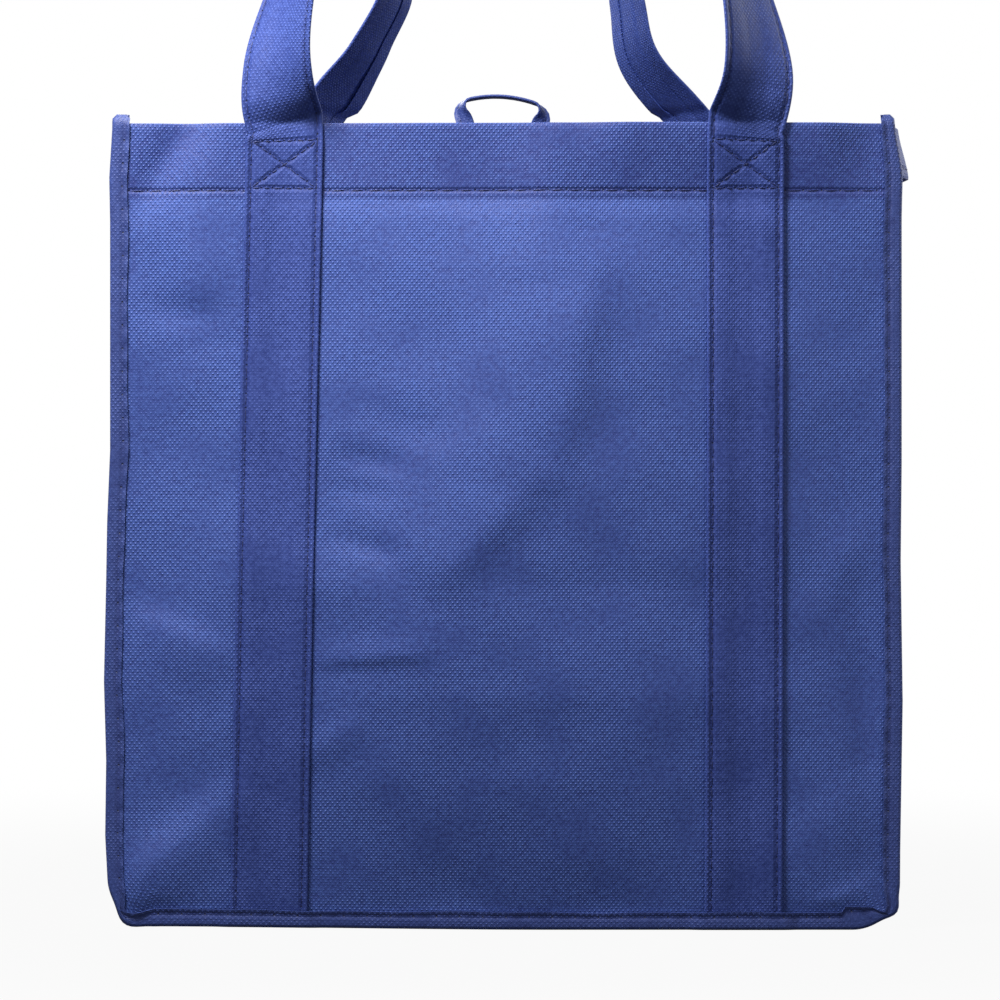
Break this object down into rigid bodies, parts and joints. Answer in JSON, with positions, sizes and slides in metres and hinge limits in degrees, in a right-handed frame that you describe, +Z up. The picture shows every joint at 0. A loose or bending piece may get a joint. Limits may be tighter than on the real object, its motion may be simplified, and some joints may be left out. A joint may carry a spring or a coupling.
{
  "type": "grocery tote bag",
  "caption": "Open-topped fabric grocery tote with bound seams, a turned-in hem, two strap handles, a hang loop and a loose bottom board.",
  "frame": {"origin": "under the middle of the bag, on the surface that the bound bottom edges stand on", "axes": "+Z up, front panel towards -Y, +X to the right of someone who looks at the front panel"},
  "size_m": [0.3228, 0.2411, 0.5555],
  "materials": {
    "panel_cloth": "matte",
    "strap_cloth": "matte",
    "tape_cloth": "matte",
    "board": "matte"
  },
  "bodies": {
    "root": {"front_panel": "panel_cloth", "back_panel": "panel_cloth", "gusset_strip": "panel_cloth", "front_binding": "tape_cloth", "back_binding": "tape_cloth", "front_handle": "strap_cloth", "back_handle": "strap_cloth", "hang_loop": "strap_cloth", "bottom_board": "board"}
  },
  "joints": []
}
